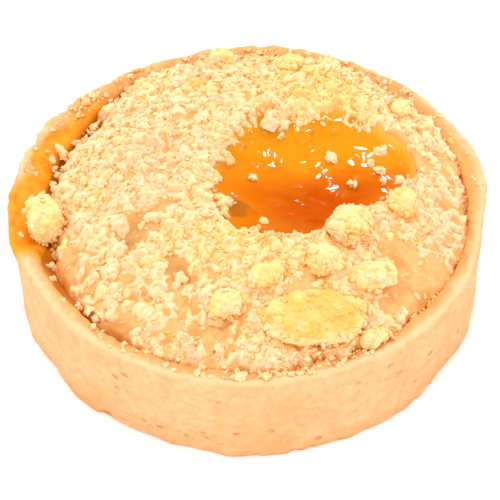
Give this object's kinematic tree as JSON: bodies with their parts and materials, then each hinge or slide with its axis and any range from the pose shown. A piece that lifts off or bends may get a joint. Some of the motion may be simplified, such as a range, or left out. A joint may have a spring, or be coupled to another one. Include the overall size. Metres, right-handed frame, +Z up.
{
  "type": "lemon tart",
  "caption": "Round single-portion lemon tart: a straight-sided pastry shell with a domed, crumble-topped filling and a pool of lemon curd in an off-centre well.",
  "frame": {"origin": "centre of the base, on the surface the tart rests on", "axes": "+Z up, +Y to the back of the tart, +X to its right as seen from the front"},
  "size_m": [0.0805, 0.0803, 0.0273],
  "materials": {
    "shortcrust": "matt pale baked shortcrust pastry",
    "baked_filling": "matt puffed almond filling under pale crumble",
    "curd": "wet and glossy orange-yellow lemon curd",
    "crumble": "matt buttery yellow crumble"
  },
  "bodies": {
    "root": {"crust": "shortcrust", "filling": "baked_filling", "lemon_curd": "curd", "crumb_front": "crumble", "crumb_left": "crumble", "crumb_well": "crumble", "crumb_right": "crumble", "crumb_middle": "crumble", "crumb_side": "crumble", "crumb_front_left": "crumble", "crumb_front_middle": "crumble", "crumb_front_rim": "crumble", "crumb_back_rim": "crumble", "crumb_back": "crumble", "crumb_back_right": "crumble"}
  },
  "joints": []
}
